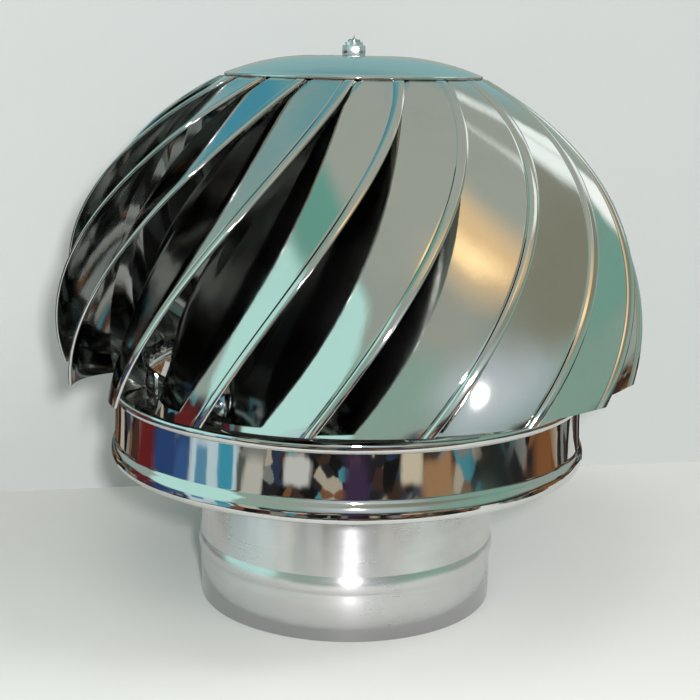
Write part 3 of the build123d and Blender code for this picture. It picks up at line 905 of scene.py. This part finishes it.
class COWL_OT_rivets(bpy.types.Operator):
    """Blind rivets through the blade feet"""
    bl_idname = "cowl.rivets"
    bl_label = "Foot rivets"

    def execute(self, context):
        s = context.scene.cowl_sizes
        c = context.scene.cowl_colours
        bm = bmesh.new()
        holder = bpy.data.meshes.new("rivet")
        one = bmesh.new()
        head, shank, swell, tail = 3.2 * MM, 1.6 * MM, 2.5 * MM, 1.5 * MM
        pin_top, dish_top, head_edge, grip, length = 1.02 * MM, 1.16 * MM, 0.25 * MM, 1.66 * MM, 3.2 * MM
        out = Outline(one, 0.0, pin_top)
        out.line(0.62 * MM, pin_top)
        out.line(0.78 * MM, dish_top)
        out.arc(head - 0.15 * MM, head_edge, rise=0.22 * MM, steps=6)
        out.line(head, 0.0)
        out.line(shank, 0.0)
        out.line(shank, -grip)
        out.line(swell, -grip)
        out.line(tail, -length)
        out.line(0.0, -length)
        turned(one, 20)
        one.to_mesh(holder)
        one.free()
        for i in range(len(BLADES)):
            for lag in RIVET_LAGS:
                azimuth = s.phase + math.radians(i * 360 / len(BLADES) - lag)
                place = polar(s.collar_radius + s.sheet, azimuth)
                place.z = s.skirt_top + RIVET_HEIGHT
                outwards = Matrix.Rotation(azimuth, 4, "Z") @ Matrix.Rotation(math.pi / 2, 4, "X")
                matrix = Matrix.Translation(place) @ outwards
                holder.transform(matrix)
                bm.from_mesh(holder)
                holder.transform(matrix.inverted())
        bpy.data.meshes.remove(holder)
        material = mirror_material("rivet_steel", c.mirror, dents=0.1, clean=0.14, smudged=0.26)
        finish_mesh(bm, "foot_rivet_heads", "rotor", ["foot_rivets"], material, sharp=40.0)
        return {"FINISHED"}


class COWL_OT_inner(bpy.types.Operator):
    """Finishes for the pieces inside that keep their own solids"""
    bl_idname = "cowl.inner"
    bl_label = "Inner pieces"

    def execute(self, context):
        c = context.scene.cowl_colours
        made = {
            "bright_steel": satin_material("bright_steel", shade(c.satin, 0.9), clean=0.22, worn=0.38),
            "shaft_steel": satin_material("shaft_steel", shade(c.satin, 0.85), clean=0.14, worn=0.24),
            "neck_steel": satin_material("inner_neck", c.satin, clean=0.22, worn=0.35),
            "seal_rubber": rubber_material("inner_seal", c.rubber),
        }
        for slot, name, colour, dents, clean, smudged in (
            ("rivet_steel", "inner_rivets", c.mirror, 0.1, 0.14, 0.26),
            ("zinc_steel", "inner_zinc", c.zinc, 0.1, 0.16, 0.30),
            ("bearing_steel", "bearing_steel", c.mirror, 0.1, 0.06, 0.14),
            ("cage_brass", "cage_brass", c.brass, 0.1, 0.18, 0.30),
            ("polished_steel", "inner_polished", c.mirror, 0.3, 0.08, 0.20),
            ("blade_steel", "inner_blades", c.mirror, 0.3, 0.05, 0.14),
        ):
            made[slot] = mirror_material(name, colour, dents, clean, smudged)
        for part in frame["record"]["subparts"]:
            node = frame["nodes"][part["node"]]
            node.data.materials.clear()
            node.data.materials.append(made[part["material_slot"]])
        return {"FINISHED"}


# ---- Stage

def flat_card(name, corners, material):
    """A flat stage card through four corners."""
    bm = bmesh.new()
    made = bmesh.ops.create_grid(bm, x_segments=1, y_segments=1, size=1.0)["verts"]
    for vert in made:
        x, y = vert.co.x * 0.5 + 0.5, vert.co.y * 0.5 + 0.5
        low = Vector(corners[0]).lerp(Vector(corners[1]), x)
        high = Vector(corners[3]).lerp(Vector(corners[2]), x)
        vert.co = low.lerp(high, y)
    mesh = bpy.data.meshes.new(name)
    bm.to_mesh(mesh)
    bm.free()
    card = bpy.data.objects.new(name, mesh)
    bpy.context.scene.collection.objects.link(card)
    mesh.materials.append(material)
    return card


def surface_material(name, colour, marked, scale, one_sided=False):
    """A matte stage surface with faint clouds, which can be looked through from behind."""
    material, tree, shader, place = new_material(name)
    shader.inputs["Roughness"].default_value = 0.7
    shader.inputs["Specular IOR Level"].default_value = 0.3
    tinted(tree, shader, spread(tree, noise(tree, place, scale, detail=3.0), 0.3, 0.7), colour, marked)
    if one_sided:
        side = tree.nodes.new("ShaderNodeNewGeometry").outputs["Backfacing"]
        clear = tree.nodes.new("ShaderNodeBsdfTransparent")
        both = tree.nodes.new("ShaderNodeMixShader")
        tree.links.new(side, both.inputs[0])
        tree.links.new(shader.outputs["BSDF"], both.inputs[1])
        tree.links.new(clear.outputs["BSDF"], both.inputs[2])
        tree.links.new(both.outputs["Shader"], tree.nodes["Material Output"].inputs["Surface"])
    return material


# What the room holds: name, azimuth and elevation, half width and half height in degrees, corner (2 round,
# 8 square), softness of the edge, colour. Later entries lie over earlier ones.
ROOM = (
    ("dark red thing on the left", (-112, -11), (9, 8), 3, 0.4, (0.16, 0.02, 0.02)),
    ("dark blue thing on the left", (-96, -15), (8, 5), 3, 0.4, (0.03, 0.07, 0.20)),
    ("blue chair", (-84, -12), (5, 6), 4, 0.4, (0.05, 0.12, 0.30)),
    ("bright doorway", (-66, -12), (13, 8), 8, 0.10, (0.62, 0.78, 0.84)),
    ("doorway panel", (-59, -13), (3.5, 7), 8, 0.12, (0.06, 0.36, 0.50)),
    ("second doorway panel", (-72, -12), (3.5, 5), 8, 0.12, (0.12, 0.32, 0.48)),
    ("stool by the doorway", (-50, -15), (3, 3), 6, 0.2, (0.10, 0.12, 0.10)),
    ("pale shelf", (-45, -10), (5, 8), 6, 0.2, (0.60, 0.58, 0.50)),
    ("dark figure", (4, -6), (6, 14), 3, 0.3, (0.060, 0.035, 0.080)),
    ("box on the right", (44, -14), (8, 3.5), 6, 0.2, (0.42, 0.24, 0.12)),
    ("cream box", (31, -16), (5, 3), 6, 0.2, (0.72, 0.62, 0.46)),
    ("white box", (-22, -15), (6, 2.6), 6, 0.2, (0.66, 0.66, 0.62)),
    ("dark things on the right", (76, -10), (12, 9), 3, 0.5, (0.025, 0.030, 0.028)),
    ("brown thing on the right", (110, -12), (9, 6), 3, 0.5, (0.26, 0.11, 0.04)),
    ("walls", (0, 40), (400, 42), 2, 0.05, (0.38, 0.46, 0.41)),
    ("ceiling", (0, 90), (400, 44), 2, 0.10, (0.46, 0.49, 0.43)),
    ("shaded ceiling on the right", (62, 42), (56, 15), 3, 0.5, (0.29, 0.29, 0.22)),
    ("dull ceiling in front", (-28, 40), (26, 11), 3, 0.5, (0.43, 0.45, 0.385)),
    ("pale front wall", (8, 12), (26, 12), 3, 0.4, (0.40, 0.52, 0.53)),
    ("green front wall", (-36, 15), (20, 15), 3, 0.4, (0.33, 0.49, 0.41)),
    ("green right wall", (62, 10), (24, 18), 3, 0.4, (0.29, 0.46, 0.38)),
    ("teal upper right wall", (92, 28), (34, 6), 3, 0.5, (0.23, 0.45, 0.37)),
    ("wide left window", (-78, 19), (25, 24), 5, 0.10, (0.62, 1.00, 0.92)),
    ("teal over the window", (-97, 50), (12, 9), 3, 0.4, (0.18, 0.44, 0.36)),
    ("teal back wall left", (-158, 43), (30, 22), 3, 0.4, (0.17, 0.42, 0.45)),
    ("blue back wall left", (-147, 38), (10, 14), 3, 0.6, (0.08, 0.34, 0.46)),
    ("teal back wall", (176, 26), (22, 14), 3, 0.5, (0.30, 0.52, 0.54)),
    ("warm lamp", (7, 58), (30, 9), 2, 0.9, (1.10, 0.76, 0.40)),
    ("warm lamp core", (0, 56), (12, 3), 2, 0.9, (1.75, 1.25, 0.66)),
    ("long white lamp", (82, 63), (27, 1.8), 4, 0.5, (1.25, 1.30, 1.22)),
    ("white lamp above right", (128, 46), (16, 5), 3, 0.4, (1.20, 1.30, 1.25)),
    ("white lamp right", (122, 38), (20, 3), 3, 0.4, (1.20, 1.30, 1.25)),
    ("white lamp low right", (127, 28), (11, 2.6), 3, 0.4, (1.30, 1.35, 1.30)),
    ("hand lamp glow", (7, 17), (20, 11), 2, 0.95, (0.66, 0.72, 0.76)),
)


class COWL_OT_stage(bpy.types.Operator):
    """Pale floor and wall, soft lamps, the room around and the camera"""
    bl_idname = "cowl.stage"
    bl_label = "Stage"

    def execute(self, context):
        c = context.scene.cowl_colours
        self.surfaces(c)
        self.lamps()
        self.world(c)
        self.camera(context)
        context.scene.view_settings.view_transform = "Standard"
        return {"FINISHED"}

    def surfaces(self, c):
        """A small table top that metal mirrors, and a wide floor and a wall that it doesn't."""
        floor = surface_material("pale_floor", c.floor, shade(c.floor, 0.96), 6.0)
        wall = surface_material("pale_wall", c.wall, shade(c.wall, 0.97), 5.0, one_sided=True)
        left, right = Vector((-0.62, 0.057, 0)), Vector((0.72, 0.327, 0))
        drop, up = Vector((0, 0, -0.2 * MM)), Vector((0, 0, 0.40))
        table_left, table_right, table_front, floor_front = -0.24, 0.28, -0.198, -1.0
        flat_card("table_top", ((table_left, table_front, 0), (table_right, table_front, 0),
                                left.lerp(right, 0.73), left.lerp(right, 0.27)), floor)
        near_left, near_right = Vector((left.x, floor_front, 0)), Vector((right.x, floor_front, 0))
        corners = [corner + drop for corner in (near_left, near_right, right, left)]
        wide = flat_card("wide_floor", corners, floor)
        wide.visible_glossy = False
        flat_card("wall_card", (left, right, right + up, left + up), wall).visible_glossy = False

    def lamps(self):
        """Three lamps, of which only the small front one shows in bright metal."""
        aim = Vector((0, 0, 0.15))
        for name, place, size, power, colour in (
            ("front_lamp", (0.05, -0.74, 0.33), 0.04, 5.2, (1.0, 0.985, 0.985)),
            ("side_lamp", (0.95, -0.35, 1.35), 0.45, 8.0, (0.98, 1.0, 1.0)),
            ("top_lamp", (-0.25, -0.55, 1.5), 0.6, 4.0, (1.0, 1.0, 1.0)),
        ):
            light = bpy.data.lights.new(name, "AREA")
            light.size = size
            light.energy = power
            light.color = colour
            lamp = bpy.data.objects.new(name, light)
            bpy.context.scene.collection.objects.link(lamp)
            lamp.visible_glossy = name == "front_lamp"
            lamp.location = place
            lamp.rotation_euler = (Vector(place) - aim).to_track_quat("Z", "Y").to_euler()

    def world(self, c):
        """The room that bright metal mirrors: walls, windows and lamps over clutter at desk height."""
        world = bpy.data.worlds.new("plain_room")
        bpy.context.scene.world = world
        world.use_nodes = True
        tree = world.node_tree
        back = tree.nodes["Background"]
        azimuth, elevation = self.angles(tree)
        colour = self.clutter(tree, azimuth, elevation)
        for name, where, half, corner, edge, paint in ROOM:
            patch = group_node(tree, "room_patch", **{
                "At azimuth": math.radians(where[0]), "At elevation": math.radians(where[1]),
                "Half width": math.radians(half[0]), "Half height": math.radians(half[1]),
                "Corner": corner, "Edge": edge})
            patch.label = name
            tree.links.new(azimuth, patch.inputs["Azimuth"])
            tree.links.new(elevation, patch.inputs["Elevation"])
            colour = mixed(tree, patch.outputs["Mask"], colour, (*paint, 1.0))
        path = tree.nodes.new("ShaderNodeLightPath")
        colour = mixed(tree, path.outputs["Is Camera Ray"], colour, c.backdrop)
        tree.links.new(colour, back.inputs["Color"])

    def angles(self, tree):
        """Azimuth from the front towards +X and elevation of the way looked at, both gently bent."""
        way = tree.nodes.new("ShaderNodeTexCoord").outputs["Generated"]
        part = tree.nodes.new("ShaderNodeSeparateXYZ")
        tree.links.new(way, part.inputs["Vector"])
        forwards = maths(tree, "MULTIPLY", part.outputs["Y"], -1.0)
        azimuth = maths(tree, "ARCTAN2", part.outputs["X"], forwards)
        elevation = maths(tree, "ARCSINE", part.outputs["Z"])
        bend = maths(tree, "SUBTRACT", noise(tree, way, 2.6), 0.5)
        sideways, upwards = 0.16, 0.10
        return (maths(tree, "ADD", azimuth, maths(tree, "MULTIPLY", bend, sideways)),
                maths(tree, "ADD", elevation, maths(tree, "MULTIPLY", bend, upwards)))

    def clutter(self, tree, azimuth, elevation):
        """Dark and coloured patches, wider than high, for the things on desks and shelves."""
        flatness, fineness = 2.6, 9.5
        place = tree.nodes.new("ShaderNodeCombineXYZ")
        tree.links.new(azimuth, place.inputs["X"])
        tree.links.new(maths(tree, "MULTIPLY", elevation, flatness), place.inputs["Y"])
        cells = tree.nodes.new("ShaderNodeTexVoronoi")
        cells.inputs["Scale"].default_value = fineness
        tree.links.new(place.outputs["Vector"], cells.inputs["Vector"])
        parts = tree.nodes.new("ShaderNodeSeparateColor")
        tree.links.new(cells.outputs["Color"], parts.inputs["Color"])
        ramp = tree.nodes.new("ShaderNodeValToRGB")
        ramp.color_ramp.interpolation = "CONSTANT"
        stops = ((0.0, (0.012, 0.011, 0.011)), (0.26, (0.06, 0.035, 0.028)), (0.42, (0.022, 0.022, 0.026)),
                 (0.54, (0.22, 0.10, 0.05)), (0.68, (0.03, 0.05, 0.09)), (0.76, (0.24, 0.25, 0.23)),
                 (0.88, (0.50, 0.44, 0.34)), (0.95, (0.08, 0.30, 0.36)))
        elements = ramp.color_ramp.elements
        elements.remove(elements[1])
        elements[0].color = (*stops[0][1], 1.0)
        for position, paint in stops[1:]:
            elements.new(position).color = (*paint, 1.0)
        tree.links.new(parts.outputs["Red"], ramp.inputs["Fac"])
        return ramp.outputs["Color"]

    def camera(self, context):
        focal_pixels, picture_pixels, sensor = 1347.97, 700, 36.0
        place = (0.69 * MM, -676.13 * MM, 275.91 * MM)
        look_down, roll = math.radians(12.454), math.radians(1.02)
        lens = bpy.data.cameras.new("front_camera")
        lens.lens = focal_pixels / picture_pixels * sensor
        lens.sensor_width = sensor
        camera = bpy.data.objects.new("front_camera", lens)
        context.scene.collection.objects.link(camera)
        camera.matrix_world = (
            Matrix.Translation(place)
            @ Matrix.Rotation(math.pi / 2 - look_down, 4, "X")
            @ Matrix.Rotation(roll, 4, "Z"))
        context.scene.camera = camera


class COWL_PT_panel(bpy.types.Panel):
    """Sizes, colours and the steps of the dressing"""
    bl_label = "Swirl cowl"
    bl_space_type = "VIEW_3D"
    bl_region_type = "UI"
    bl_category = "Cowl"

    def draw(self, context):
        for group in (context.scene.cowl_sizes, context.scene.cowl_colours):
            for name in group.bl_rna.properties.keys():
                if name not in {"rna_type", "name"}:
                    self.layout.prop(group, name)
        for step in STEPS:
            self.layout.operator(step.bl_idname)


STEPS = (COWL_OT_inner, COWL_OT_blades, COWL_OT_skirt, COWL_OT_neck, COWL_OT_top, COWL_OT_rivets,
         COWL_OT_stage)
CLASSES = (CowlSizes, CowlColours, *STEPS, COWL_PT_panel)


def register():
    for item in CLASSES:
        bpy.utils.register_class(item)
    bpy.types.Scene.cowl_sizes = bpy.props.PointerProperty(type=CowlSizes)
    bpy.types.Scene.cowl_colours = bpy.props.PointerProperty(type=CowlColours)


def unregister():
    del bpy.types.Scene.cowl_colours
    del bpy.types.Scene.cowl_sizes
    for item in reversed(CLASSES):
        bpy.utils.unregister_class(item)


def main():
    register()
    for step in STEPS:
        family, action = step.bl_idname.split(".")
        getattr(getattr(bpy.ops, family), action)()


if __name__ == "__main__":
    main()
